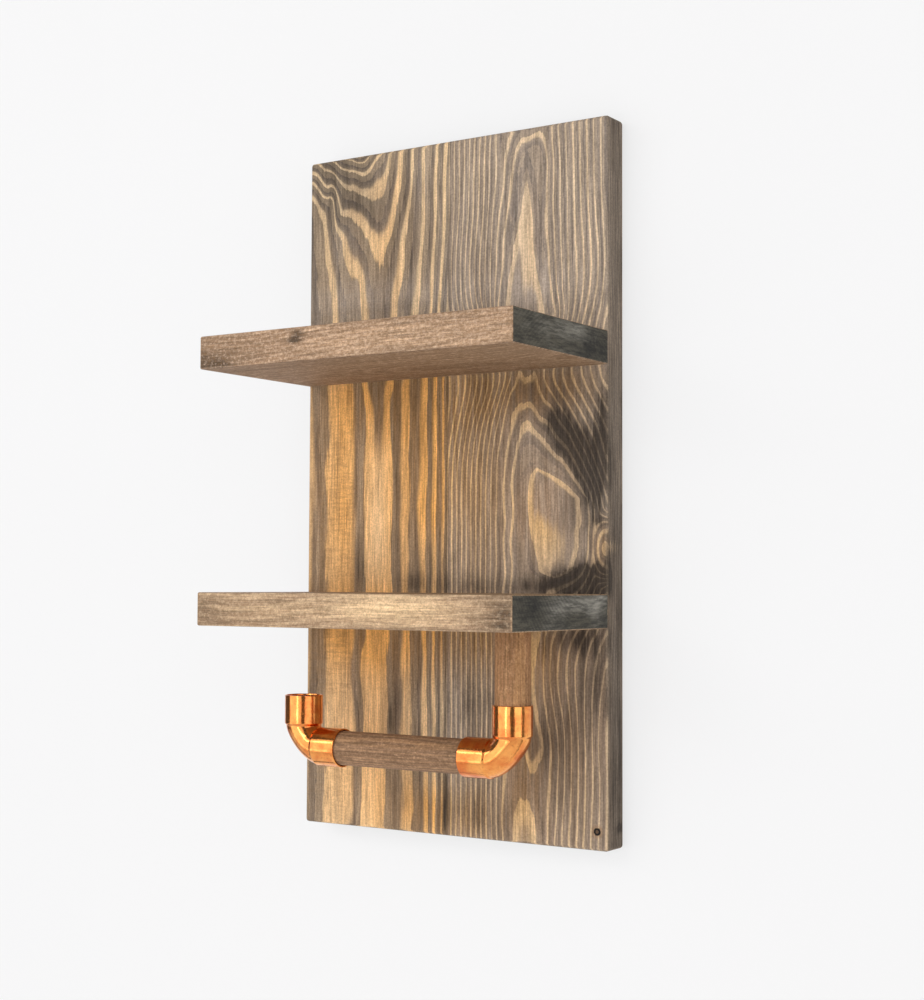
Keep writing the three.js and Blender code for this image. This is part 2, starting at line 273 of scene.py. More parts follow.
HEART_REACH = (2.5, 6.0)  # how far outside the outline its rings hold, and where they give way
OUTSIDE_FLOOR = 0.4  # no pale line but the outline itself comes near a heart
CORE_RING = -0.34  # the middle of a heart, where its pale rim has faded
CORE_SPREAD = 0.17
KNOT_PLACE = (230, 183)
KNOT_PITCH = 3.6
KNOT_REACH = (6, 12)  # where its loops begin to give way, and where they end
KNOT_FLATTENING = 0.45
PIN_KNOT = (BOARD_LEFT + 224.7 * MM, BOARD_FOOT + 11.6 * MM, 2.2 * MM)  # place and radius
# Soft patches on the board's front: middle, reach across and up, and strength.
BOARD_PALE = [
    (60, 215, 60, 60, 0.5), (50, 60, 60, 60, 0.3), (27, 225, 14, 90, 1.0), (27, 60, 14, 80, 0.9),
    (60, 200, 10, 34, 0.3), (57, 272, 12, 24, -0.55), (227, 184, 7, 12, 0.8), (173, 14, 6, 14, 0.7),
    (214, 80, 20, 50, -0.35), (102, 400, 12, 60, -0.3), (177, 385, 8, 34, 1.1), (196, 224, 12, 8, 0.8),
    (172, 262, 8, 4, 1.2), (18, 422, 16, 26, -0.5), (40, 445, 24, 7, -0.5), (60, 388, 7, 10, 0.6),
    (60, 424, 8, 7, 0.7), (82, 425, 6, 40, -0.3), (7, 410, 7, 12, 0.5),
]
BOARD_DARK = [
    (223, 219, 9, 12, 1.3), (219, 236, 11, 12, 1.8), (207, 250, 12, 11, 1.5), (197, 262, 11, 9, 0.9),
    (226, 256, 9, 18, 0.6), (231.5, 181, 1.5, 9, 0.9), (212, 163, 24, 7, 1.9), (224, 205, 7, 12, 0.6),
    (42, 414, 34, 24, 0.36), (26, 424, 24, 20, 0.3), (212, 244, 16, 12, 0.4), (228, 262, 7, 26, 0.45),
    (57, 205, 11, 45, -0.35), (20, 440, 16, 8, 0.3), (84, 400, 5, 40, 0.2), (110, 50, 50, 50, 0.1),
    (182, 159, 44, 6, 0.55), (46, 172, 9, 18, 0.65), (90, 163, 22, 8, 0.36), (140, 84, 26, 13, 0.38),
    (70, 74, 7, 18, 0.5), (120, 159, 30, 9, 0.4), (113, 20, 2.5, 26, 0.7), (20, 448, 30, 5, 0.3),
    (45, 90, 5, 22, 0.3), (214, 127, 26, 10, 0.75), (224, 102, 15, 24, 0.5), (188, 62, 9, 18, 0.35),
    (160, 10, 18, 18, 0.2), (114.5, 225, 1.2, 400, 0.5), (120, 14, 34, 14, 0.4), (163, 350, 8, 14, 0.15),
    (211, 196, 7, 14, 0.15), (204, 58, 30, 46, 0.38), (225, 165, 14, 9, 1.7), (226, 199, 7, 4, 0.5),
    (206, 206, 10, 14, 0.2), (190, 282, 36, 16, 0.56), (182, 228, 22, 5, 0.1), (60, 345, 60, 4, 0.15),
    (166, 240, 5, 30, 0.25), (2, 200, 3, 200, 0.2),
]
# Warmer, more golden tone. The patches at heights 282 to 286, just under the upper shelf, are painted warm
# light.
BOARD_WARM = [
    (62, 286, 62, 30, 0.7), (55, 215, 46, 66, 0.62), (58, 128, 64, 30, 0.9), (50, 40, 48, 66, 0.5),
    (160, 284, 60, 20, 0.75), (140, 128, 34, 22, 0.7), (182, 118, 16, 26, 0.5), (60, 400, 60, 60, 0.2),
    (172, 40, 14, 40, 0.5), (184, 205, 22, 30, 0.35), (104, 240, 22, 56, 0.7), (140, 222, 34, 56, 0.65),
    (196, 62, 44, 70, 0.55), (200, 282, 30, 16, 0.3), (118, 14, 40, 20, 0.95), (58, 208, 10, 50, -0.42),
    (190, 206, 18, 26, 0.5), (212, 246, 16, 14, 0.3), (30, 425, 30, 26, -0.1), (178, 378, 6, 30, 0.15),
    (228, 184, 7, 14, 0.5), (28, 215, 16, 80, 0.35), (8, 215, 10, 90, 0.4), (206, 120, 20, 20, 0.2),
]
BOARD_BLEACHED = [
    (46, 351, 60, 14, 0.55), (160, 349, 60, 10, 0.5), (30, 392, 12, 18, 0.3), (120, 400, 16, 50, 0.2),
    (92, 430, 8, 30, 0.3), (60, 425, 8, 30, 0.15), (182, 350, 14, 14, 0.4), (192, 204, 16, 24, 0.42),
    (168, 345, 10, 16, 0.3), (176, 160, 30, 30, 0.1),
]
BOARD_RIPPLE = [
    (24, 215, 22, 60, 1.0), (22, 110, 24, 30, 1.0), (24, 30, 22, 30, 0.6), (40, 350, 40, 70, 0.3),
]


# --- meshes --------------------------------------------------------------------------------------

def linked(name, data):
    """A new object in the scene with the given mesh, curve, light or camera."""
    obj = bpy.data.objects.new(name, data)
    bpy.context.scene.collection.objects.link(obj)
    return obj


def mesh_object(name, verts, faces, smooth=False):
    mesh = bpy.data.meshes.new(name)
    mesh.from_pydata([tuple(v) for v in verts], [], faces)
    mesh.update()
    if smooth:
        mesh.shade_smooth()
    return linked(name, mesh)


def grid_lines(low, high, step):
    count = max(1, round((high - low) / step))
    return np.linspace(low, high, count + 1)


def grid_box(name, low, high, steps):
    """A closed box of small squares, with its own step along each axis."""
    lines = [grid_lines(low[i], high[i], steps[i]) for i in range(3)]
    last = [len(line) - 1 for line in lines]
    index, verts, faces = {}, [], []

    def vertex(key):
        if key not in index:
            index[key] = len(verts)
            verts.append([lines[i][key[i]] for i in range(3)])
        return index[key]

    for axis in range(3):
        u, v = (axis + 1) % 3, (axis + 2) % 3
        for end in (0, last[axis]):
            for i in range(last[u]):
                for j in range(last[v]):
                    corners = []
                    for a, b in ((0, 0), (1, 0), (1, 1), (0, 1)):
                        key = [0, 0, 0]
                        key[axis], key[u], key[v] = end, i + a, j + b
                        corners.append(vertex(tuple(key)))
                    faces.append(corners if end else corners[::-1])
    return mesh_object(name, verts, faces)


@contextmanager
def edited(mesh):
    """A mesh opened for editing, and written back afterwards."""
    editing = bmesh.new()
    editing.from_mesh(mesh)
    yield editing
    editing.to_mesh(mesh)
    editing.free()


def ease_edges(obj, width, keep_sharp):
    """Rounds the box's long edges. keep_sharp(point) picks edges that stay square."""
    with edited(obj.data) as mesh:
        edges = [
            edge for edge in mesh.edges
            if len(edge.link_faces) == 2 and edge.calc_face_angle() > math.radians(60)
            and not keep_sharp((edge.verts[0].co + edge.verts[1].co) / 2)
        ]
        bmesh.ops.bevel(
            mesh, geom=edges, offset=width, segments=3, profile=0.5, affect="EDGES", clamp_overlap=True,
        )


def apply_modifiers(obj):
    evaluated = obj.evaluated_get(bpy.context.evaluated_depsgraph_get())
    mesh = bpy.data.meshes.new_from_object(evaluated)
    obj.modifiers.clear()
    obj.data = mesh
    mesh.name = obj.name


def carve(obj, tools):
    """Cuts the tools out of obj and deletes them."""
    for tool in tools:
        cut = obj.modifiers.new("cut", "BOOLEAN")
        cut.operation, cut.solver, cut.object = "DIFFERENCE", "MANIFOLD", tool
    bpy.context.view_layer.update()
    apply_modifiers(obj)
    for tool in tools:
        bpy.data.objects.remove(tool)


def loft(rings, ring_loop=False):
    """Faces between rings of points, in order, with flat ends unless the last ring joins the first."""
    count = len(rings[0])
    verts = [p for ring in rings for p in ring]
    faces = []
    for r in range(len(rings) - (0 if ring_loop else 1)):
        a, b = r * count, (r + 1) % len(rings) * count
        for i in range(count):
            j = (i + 1) % count
            faces.append((a + i, a + j, b + j, b + i))
    if not ring_loop:
        faces.append(tuple(range(count))[::-1])
        faces.append(tuple(range((len(rings) - 1) * count, len(rings) * count)))
    return verts, faces


def turns(count):
    return [2 * math.pi * i / count for i in range(count)]


def turned_tool(profile, segments, matrix):
    """A cutting tool turned about +Z from (radius, height) pairs, bottom first."""
    rings = [[(r * math.cos(a), r * math.sin(a), h) for a in turns(segments)] for r, h in profile]
    obj = mesh_object("tool", *loft(rings))
    obj.data.transform(matrix)
    return obj


def box_tool(low, high):
    corners = [(x, y, z) for x in (low[0], high[0]) for y in (low[1], high[1]) for z in (low[2], high[2])]
    faces = [(0, 1, 3, 2), (4, 6, 7, 5), (0, 4, 5, 1), (2, 3, 7, 6), (0, 2, 6, 4), (1, 5, 7, 3)]
    return mesh_object("tool", corners, faces)


def recalculate(obj):
    with edited(obj.data) as mesh:
        bmesh.ops.recalc_face_normals(mesh, faces=mesh.faces)


def set_values(obj, **values):
    """Stores one number per vertex under each name, for the materials to read."""
    for name, numbers in values.items():
        layer = obj.data.attributes.new(name, "FLOAT", "POINT")
        layer.data.foreach_set("value", np.asarray(numbers, np.float32))


def points_of(obj):
    flat = np.empty(len(obj.data.vertices) * 3)
    obj.data.vertices.foreach_get("co", flat)
    return flat.reshape(-1, 3)


# --- material graphs -----------------------------------------------------------------------------

class Graph:
    """Short names for the shader nodes that the materials and the world use."""

    def __init__(self, name, kind=bpy.data.materials, shader="Principled BSDF"):
        self.owner = kind.new(name)
        self.owner.use_nodes = True
        self.tree = self.owner.node_tree
        self.shader = self.tree.nodes[shader]

    def join(self, value, socket):
        if isinstance(value, bpy.types.NodeSocket):
            self.tree.links.new(value, socket)
        else:
            socket.default_value = value

    def node(self, kind, sockets=(), **settings):
        made = self.tree.nodes.new(kind)
        for key, value in settings.items():
            setattr(made, key, value)
        for key, value in dict(sockets).items():
            self.join(value, made.inputs[key])
        return made

    def surface(self, sockets):
        """Sets the shader's own sockets, from numbers or from other nodes."""
        for key, value in sockets.items():
            self.join(value, self.shader.inputs[key])

    def math(self, operation, *values, clamp=False):
        return self.node("ShaderNodeMath", enumerate(values), operation=operation, use_clamp=clamp).outputs[0]

    def add(self, a, b, clamp=False):
        return self.math("ADD", a, b, clamp=clamp)

    def times(self, a, b, clamp=False):
        return self.math("MULTIPLY", a, b, clamp=clamp)

    def scaled(self, a, factor, offset=0.0):
        return self.math("MULTIPLY_ADD", a, factor, offset)

    def span(self, value, low, high, out_low=0.0, out_high=1.0, smooth=True):
        kind = "SMOOTHSTEP" if smooth else "LINEAR"
        sockets = enumerate((value, low, high, out_low, out_high))
        return self.node("ShaderNodeMapRange", sockets, clamp=True, interpolation_type=kind).outputs[0]

    def value(self, name):
        return self.node("ShaderNodeAttribute", attribute_name=name).outputs["Fac"]

    def place(self):
        return self.node("ShaderNodeTexCoord").outputs["Object"]

    def stretch(self, vector, scale, offset=(0, 0, 0), turn=(0, 0, 0)):
        sockets = {"Vector": vector, "Location": offset, "Rotation": turn, "Scale": scale}
        return self.node("ShaderNodeMapping", sockets).outputs[0]

    def noise(self, vector, detail=2.0, roughness=0.5, distortion=0.0):
        sockets = {"Vector": vector, "Scale": 1.0, "Detail": detail, "Roughness": roughness}
        return self.node("ShaderNodeTexNoise", {**sockets, "Distortion": distortion}).outputs["Fac"]

    def random(self, value):
        return self.node("ShaderNodeTexWhiteNoise", {"W": value}, noise_dimensions="1D").outputs["Value"]

    def mix(self, factor, a, b, blend="MIX"):
        sockets = {"Factor": factor, 6: a, 7: b}
        return self.node("ShaderNodeMix", data_type="RGBA", blend_type=blend, sockets=sockets).outputs[2]

    def bump(self, height, distance, strength):
        sockets = {"Strength": strength, "Distance": distance, "Height": height}
        return self.node("ShaderNodeBump", sockets).outputs[0]

    def facing(self, axis):
        """1 where the true surface faces along the axis, 0 elsewhere."""
        normal = self.node("ShaderNodeNewGeometry").outputs["True Normal"]
        split = self.node("ShaderNodeSeparateXYZ", {0: normal})
        return self.span(self.math("ABSOLUTE", split.outputs[axis]), 0.75, 0.9)


def colour(red, green, blue):
    """An sRGB colour, 0 to 255, as the linear values that shaders take."""
    def linear(value):
        value /= 255
        return value / 12.92 if value <= 0.04045 else ((value + 0.055) / 1.055) ** 2.4
    return (linear(red), linear(green), linear(blue), 1.0)


STAIN = colour(112, 99, 87)
DEEP_STAIN_AND_SHADE = colour(44, 36, 30)
WARM_BROWN = colour(150, 112, 70)
BLEACHED = colour(178, 162, 148)
PALE = colour(218, 189, 150)
GOLD = colour(230, 168, 92)
END_GRAIN = colour(94, 89, 77)
END_LIFT = colour(160, 155, 144)


def wood_material(
    name, along, line_share, seed=0.0, stain=STAIN, brown=WARM_BROWN, pale=PALE, gold=GOLD,
    line_strength=1.0, speckled=0.0, fresh=None, knot=None,
):
    """Stained pine. The stain sinks into the soft early wood, and the hard late wood stays pale.

    along is the axis of the grain, line_share how much of a ring the pale line takes, and speckled
    how strongly the sawn surface is mottled.
    """
    g = Graph(name)
    fine = [1.0, 1.0, 1.0]
    fine[along] = 0.045
    broad = [1.0, 1.0, 1.0]
    broad[along] = 0.16
    shift = (seed, seed * 1.7, seed * 0.6)
    place = g.place()

    def grain(scale, detail, roughness=0.5, **settings):
        return g.noise(g.stretch(place, scale, shift), detail, roughness, **settings)

    fibre = grain([1000 * s for s in fine], 4.0, 0.7)
    streak = grain([330 * s for s in fine], 3.0, 0.65)
    wander = grain([170 * s for s in broad], 3.0)
    cloud = grain([30 * s for s in broad], 4.0, 0.6)
    speckle = grain((900, 900, 900), 3.0, 0.7)
    warm = g.add(g.value("warm"), g.scaled(cloud, 0.7, -0.35), clamp=True)
    grained = g.times(g.span(streak, 0.3, 0.7, 0.6, 1.4), g.span(wander, 0.3, 0.7, 0.75, 1.25))
    dark = g.add(g.times(g.value("dark"), grained), g.scaled(cloud, 1.2, -0.6), clamp=True)

    rings = g.value("rings")
    rings = g.add(rings, g.scaled(wander, 0.36, -0.18))
    rings = g.add(rings, g.scaled(fibre, 0.2, -0.1))
    nearest = g.math("ROUND", rings)
    away = g.math("SUBTRACT", rings, nearest)
    luck = g.random(g.add(nearest, seed))
    share = g.times(g.value("share"), g.scaled(luck, 0.4, 0.8))
    share = g.times(share, line_share)
    sharp_side = g.span(away, g.times(share, -1.15), g.times(share, -0.8))
    soft_side = g.span(away, g.times(share, 0.4), g.times(share, 1.5), 1.0, 0.0)
    line = g.times(sharp_side, soft_side)
    strength = g.times(g.span(streak, 0.25, 0.55, 0.66, 1.0), g.scaled(luck, 0.3, 0.8))
    strength = g.times(strength, g.math("SUBTRACT", 1.0, g.times(dark, 0.9)))
    line = g.times(line, g.times(strength, line_strength), clamp=True)

    base = g.mix(g.times(warm, 0.85, clamp=True), stain, brown)
    fading = g.span(away, g.times(share, 0.5), 0.5, 0.72, 0.0)
    base = g.mix(g.times(fading, line_strength), base, g.mix(warm, g.mix(0.4, stain, pale), brown))
    base = g.mix(g.span(streak, 0.35, 0.7, 0.0, 0.45), base, g.mix(0.35, stain, pale))
    base = g.mix(g.times(g.value("bleached"), 0.8, clamp=True), base, BLEACHED)
    if fresh is not None:
        base = g.mix(g.value("fresh"), base, g.mix(warm, fresh[0], fresh[1]))
    # dark pulls the colour towards the deep colour. It holds real stain patches, and also painted shade on the
    # board's sides, ends and back and along the shelf fronts' bottom edges.
    base = g.mix(g.times(dark, 0.9, clamp=True), base, DEEP_STAIN_AND_SHADE)
    thick = g.span(share, line_share * 0.85, line_share * 1.2, 0.0, 0.14)
    light = g.mix(g.add(warm, thick, clamp=True), pale, gold)
    wood = g.mix(line, base, light)
    worn = g.times(g.value("worn"), g.span(cloud, 0.4, 0.62, 0.1, 0.75))
    wood = g.mix(g.times(worn, g.span(fibre, 0.35, 0.65, 0.5, 1.0)), wood, g.mix(0.35, pale, stain))

    rippled = g.noise(g.stretch(place, (90, 90, 640), shift, turn=(0, 0.25, 0)), detail=2.0)
    ripple = g.times(g.value("ripple"), g.span(rippled, 0.44, 0.6, 0.0, 0.3))
    wood = g.mix(ripple, wood, g.mix(0.25, brown, DEEP_STAIN_AND_SHADE))
    grit = [520.0, 520.0, 520.0]
    grit[along] = 360.0
    coarse = grain(grit, 5.0, 0.75)
    mottle = g.span(coarse, 0.46, 0.66, 0.0, speckled, smooth=False)
    wood = g.mix(mottle, wood, g.mix(0.35, brown, DEEP_STAIN_AND_SHADE))
    wood = g.mix(g.span(coarse, 0.5, 0.34, 0.0, speckled * 0.7, smooth=False), wood, pale)
    tone = g.span(fibre, 0.3, 0.7, 0.6, 1.34, smooth=False)
    tone = g.times(tone, g.span(streak, 0.3, 0.7, 0.82, 1.12, smooth=False))
    tone = g.times(tone, g.span(speckle, 0.3, 0.7, 0.76, 1.26, smooth=False))
    wood = multiplied(g, wood, tone)

    ends = g.facing(along)
    sawn = [520.0, 520.0, 520.0]
    sawn[1 if along == 0 else 0] = 70.0
    pores = grain(sawn, 5.0, 0.75)
    arcs = g.span(g.math("ABSOLUTE", away), 0.1, 0.42, 0.0, 1.0)
    arcs = g.times(arcs, g.span(cloud, 0.35, 0.65, 0.15, 1.0))
    broad_sawn = [26 if s == 70.0 else 80 for s in sawn]
    blotch = grain(broad_sawn, 3.0, distortion=0.6)
    lifted = g.add(g.value("warm"), g.scaled(blotch, 1.2, -0.6), clamp=True)
    cut_end = g.mix(lifted, END_GRAIN, END_LIFT)
    cut_end = g.mix(g.times(arcs, 0.3), cut_end, colour(40, 40, 37))
    cut_end = g.mix(g.span(pores, 0.38, 0.6, 0.62, 0.0), cut_end, colour(32, 31, 29))
    cut_end = g.mix(g.times(dark, 0.7, clamp=True), cut_end, colour(24, 24, 25))
    wood = g.mix(ends, wood, cut_end)

    if knot is not None:
        wood = add_pin_knot(g, wood, place, knot)

    rough = g.math("SUBTRACT", g.span(fibre, 0.3, 0.7, 0.8, 0.62), g.times(line, 0.1))
    relief = g.add(g.times(line, 0.6), g.add(g.times(fibre, 0.8), g.times(pores, 0.3)))
    relief = g.bump(relief, 0.25 * MM, 0.9)
    g.surface({"Base Color": wood, "Roughness": rough, "Specular IOR Level": 0.22, "Normal": relief})
    return g.owner


def multiplied(g, tint, factor):
    grey = g.node("ShaderNodeCombineColor", {0: factor, 1: factor, 2: factor})
    return g.mix(1.0, tint, grey.outputs[0], blend="MULTIPLY")


def add_pin_knot(g, wood, place, knot):
    """A small round knot: a near-black bark ring round a brown heart."""
    x, z, radius = knot
    sockets = {0: g.stretch(place, (1, 0, 1)), 1: (x, 0, z)}
    away = g.node("ShaderNodeVectorMath", sockets, operation="DISTANCE")
    rough_edge = g.noise(g.stretch(place, (900, 900, 900)), detail=2.0)
    reach = g.math("DIVIDE", away.outputs["Value"], radius)
    reach = g.add(reach, g.scaled(rough_edge, 0.5, -0.25))
    heart = g.mix(g.span(reach, 0.35, 0.6), colour(92, 70, 50), colour(22, 18, 15))
    halo = g.mix(g.span(reach, 1.0, 2.4, 0.45, 0.0), wood, colour(150, 112, 72))
    return g.mix(g.span(reach, 0.95, 1.2, 1.0, 0.0), halo, heart)


def copper_material():
    """Bright drawn copper, with faint draw lines, handling haze and darker tarnish specks."""
    g = Graph("polished_copper")
    place = g.place()
    haze = g.noise(g.stretch(place, (70, 70, 70)), detail=4.0, roughness=0.6)
    draw = g.noise(g.stretch(place, (1500, 1500, 220)), detail=2.0)
    specks = g.noise(g.stretch(place, (650, 650, 650)), detail=4.0, roughness=0.7)
    dents = g.noise(g.stretch(place, (110, 110, 110)), detail=1.0)
    tint = g.mix(g.span(haze, 0.35, 0.68), colour(252, 171, 90), colour(226, 122, 58))
    tint = g.mix(g.span(specks, 0.56, 0.72, 0.0, 0.5), tint, colour(150, 66, 30))
    rough = g.add(g.span(haze, 0.3, 0.75, 0.11, 0.21), g.span(specks, 0.5, 0.7, 0.0, 0.12))
    relief = g.add(g.times(draw, 0.2), g.add(g.times(dents, 1.2), g.times(specks, 0.15)))
    relief = g.bump(relief, 0.25 * MM, 0.5)
    g.surface({"Base Color": tint, "Metallic": 1.0, "Roughness": rough, "Normal": relief})
    g.surface({"Coat Weight": 0.3, "Coat Roughness": 0.12})
    return g.owner


def steel_material():
    """Zinc plate with a faint yellow passivation and fine scuffs."""
    g = Graph("zinc_plated_steel")
    place = g.place()
    cloud = g.noise(g.stretch(place, (160, 160, 160)), detail=4.0)
    scuff = g.noise(g.stretch(place, (2200, 300, 2200), turn=(0.4, 0.2, 0.7)), detail=3.0)
    tint = g.mix(g.span(cloud, 0.35, 0.65), colour(188, 187, 182), colour(160, 157, 146))
    tint = g.mix(g.span(scuff, 0.55, 0.75, 0.0, 0.4), tint, colour(120, 116, 108))
    rough = g.span(cloud, 0.3, 0.7, 0.28, 0.42)
    relief = g.bump(scuff, 0.03 * MM, 0.5)
    g.surface({"Base Color": tint, "Metallic": 1.0, "Roughness": rough, "Normal": relief})
    return g.owner


# --- wooden boards -------------------------------------------------------------------------------

def finish_piece(obj, node, material):
    obj.data.materials.clear()
    obj.data.materials.append(material)
    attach(obj, "root")
    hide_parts(node)
    return obj


def screw_holes(names):
    """Cutting tools for the named screws: a shank hole and a mouth as wide as the head."""
    tools = []
    for name in names:
        low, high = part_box(name)
        size = high - low
        along = max(range(3), key=lambda i: size[i])
        across = [i for i in range(3) if i != along]
        head = size[across[0]] / 2 + 0.4 * MM
        shank = head * 0.52 + 0.1 * MM
        top = high[along]
        profile = [(shank, low[along] - 1 * MM), (shank, top - head * 0.75)]
        profile += [(head, top - 0.4 * MM), (head, top + 2 * MM)]
        centre = (low + high) / 2
        if along == 1:
            matrix = Matrix.Translation((centre.x, 0, centre.z)) @ Matrix.Rotation(-math.pi / 2, 4, "X")
        else:
            matrix = Matrix.Translation((centre.x, centre.y, 0))
        tools.append(turned_tool(profile, SCREW_SEGMENTS, matrix))
    return tools


def hanger_seats(names):
    """Tools for the shallow bed that each hanger plate lies in, and the pocket behind its keyhole."""
    tools = []
    for name in names:
        low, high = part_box(name)
        bed = 0.3 * MM
        outline = rounded_outline(low.x - bed, high.x + bed, low.z - bed, high.z + bed, 4.3 * MM)
        rings = [[(x, y, z) for x, z in outline] for y in (low.y - bed, high.y + 2 * MM)]
        tools.append(mesh_object("tool", *loft(rings)))
        recalculate(tools[-1])
        x, z = (low.x + high.x) / 2, (low.z + high.z) / 2 + 0.5 * MM
        half, tall, deep = 6.5 * MM, 11.5 * MM, -10 * MM
        tools.append(box_tool((x - half, deep, z - tall), (x + half, low.y, z + tall)))
    return tools


def rounded_outline(x0, x1, z0, z1, radius, steps=10):
    points = []
    left, right, foot, top = x0 + radius, x1 - radius, z0 + radius, z1 - radius
    for cx, cz, start in ((right, top, 0), (left, top, 90), (left, foot, 180), (right, foot, 270)):
        for i in range(steps + 1):
            a = math.radians(start + 90 * i / steps)
            points.append((cx + radius * math.cos(a), cz + radius * math.sin(a)))
    return points


def hand_planed(obj, face_y, amount):
    """Moves the points of a front face in or out a little, as planed and sanded pine is."""
    for vertex in obj.data.vertices:
        if abs(vertex.co.y - face_y) < 0.05 * MM:
            at = Vector((vertex.co.x * 22, 0, vertex.co.z * 7))
            vertex.co.y += amount * (noise.noise(at) - 0.3 * abs(noise.noise(at * 4.1)))


def plank(name, node, low, high, lines, material):
    left = high.x < RIGHT_PLANK[1].x - MM
    obj = grid_box(name, low, high, (GRID_STEP, 6 * MM, GRID_STEP))
    ease_edges(obj, BOARD_ARRIS, keep_sharp=lambda p: abs(p.x - SEAM_X) < 0.1 * MM)
    hand_planed(obj, BOARD_FRONT, 0.12 * MM)
    own = [n for n in SCREW_NODES if low.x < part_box(n)[0].x < high.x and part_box(n)[1].y > -MM]
    plates = [n for n in HANGER_PLATES if low.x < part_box(n)[0].x < high.x]
    carve(obj, screw_holes(own) + hanger_seats(plates))
    at = points_of(obj)
    x, z = (at[:, 0] - BOARD_LEFT) / MM, (at[:, 2] - BOARD_FOOT) / MM
    depth = (at[:, 1] - BOARD_FRONT) / MM
    rings = ring_field(lines)(x, z)
    if not left:
        rings = rings - CORE_SPREAD * np.clip((1 - rings) / 0.7, 0, 1)
        for outline in (FLAME, BLOB):
            rings = with_heart(rings, x, z, outline)
        rings = with_knot(rings, x, z)
    steep = PITH_DEPTH / np.hypot(x - PITH_X["left" if left else "right"], PITH_DEPTH)
    rings = rings + depth / RING_DEPTH_PITCH * steep * (1 if left else -1) * 0.8
    outer = np.minimum(x, BOARD_WIDTH - x)
    on_side = (outer < 0.2) & (depth > 0.5)
    side_rings = depth / SIDE_RING_PITCH + 0.5 * np.sin(z / 47) + 0.2 * np.sin(z / 13)
    rings = np.where(on_side, side_rings, rings)
    front = np.clip(1 - depth / FRONT_DEPTH, 0, 1)
    share = patches(x, z, BOARD_PALE) + 1
    knot_streak = 4 * np.exp(-((z - KNOT_PLACE[1] - 1) / 3) ** 2 - (depth / 11) ** 2)
    side_spot = 0 if left else patches(z, depth, [SIDE_SPOT])
    share = np.where(on_side, SIDE_SHARE + (0 if left else knot_streak), np.where(front > 0, share, 1))
    set_values(
        obj,
        rings=rings if left else -rings,
        share=share,
        bleached=patches(x, z, BOARD_BLEACHED) * front,
        dark=patches(x, z, BOARD_DARK) * front + (1 - front) * PAINTED_SHADE_AWAY_FROM_FRONT + on_side * side_spot,
        warm=patches(x, z, BOARD_WARM) * front,
        ripple=patches(x, z, BOARD_RIPPLE) * front,
        worn=on_arris(at, low, high, BOARD_ARRIS) * (np.abs(at[:, 0] - SEAM_X) > MM) * 0.2,
    )
    return finish_piece(obj, node, material)


def on_arris(at, low, high, width):
    """1 for points on the rounded edges between two faces of a box, else 0."""
    width *= 0.98
    near = sum((at[:, i] - low[i] < width).astype(int) + (high[i] - at[:, i] < width) for i in range(3))
    return (near >= 2).astype(float)


def with_heart(rings, x, z, outline):
    """Bends the rings to run round an outlined heart. Its rim is a ring line that fades inward."""
    heights, left, right = np.array(outline).T
    inside = np.minimum(x - np.interp(z, heights, left), np.interp(z, heights, right) - x)
    near, far = HEART_REACH
    blend = np.clip((far + inside) / (far - near), 0, 1)
    blend *= np.clip((z - heights[0]) / 6, 0, 1) * np.clip((heights[-1] - z) / 6, 0, 1)
    core = CORE_RING * (1 - np.clip(patches(x, z, HEART_PALE), 0, 1))
    heart = np.maximum(HEART_EDGE - inside / np.where(inside > 0, *HEART_PITCH), core)
    floor = np.where((z > heights[0]) & (z < heights[-1]) & (inside < -near), OUTSIDE_FLOOR, CORE_RING)
    return heart * blend + np.maximum(rings, floor) * (1 - blend)


def with_knot(rings, x, z):
    """Bends the rings into closed loops round the knot at the board's edge."""
    away = np.hypot(x - KNOT_PLACE[0], (z - KNOT_PLACE[1]) * KNOT_FLATTENING)
    loops = np.maximum(away / KNOT_PITCH - 0.35, 0)
    blend = np.clip((away - KNOT_REACH[0]) / (KNOT_REACH[1] - KNOT_REACH[0]), 0, 1)
    blend = blend * blend * (3 - 2 * blend)
    return loops * (1 - blend) + rings * blend


def build_planks():
    left_material = wood_material(
        "stained_pine_left_plank", 2, 0.165, seed=1.3, stain=colour(97, 87, 80),
    )
    right_material = wood_material(
        "stained_pine_right_plank", 2, 0.125, seed=4.1, stain=colour(124, 112, 103), pale=colour(216, 190, 158),
        gold=colour(214, 172, 116), line_strength=0.86, knot=PIN_KNOT,
    )
    low, high = Vector(LEFT_PLANK[0]), Vector(LEFT_PLANK[1])
    high.x = SEAM_X
    plank("left_back_plank", "back_plank_left", low, high, LEFT_RINGS, left_material)
    low, high = Vector(RIGHT_PLANK[0]), Vector(RIGHT_PLANK[1])
    low.x = SEAM_X
    plank("right_back_plank", "back_plank_right", low, high, right_rings(), right_material)


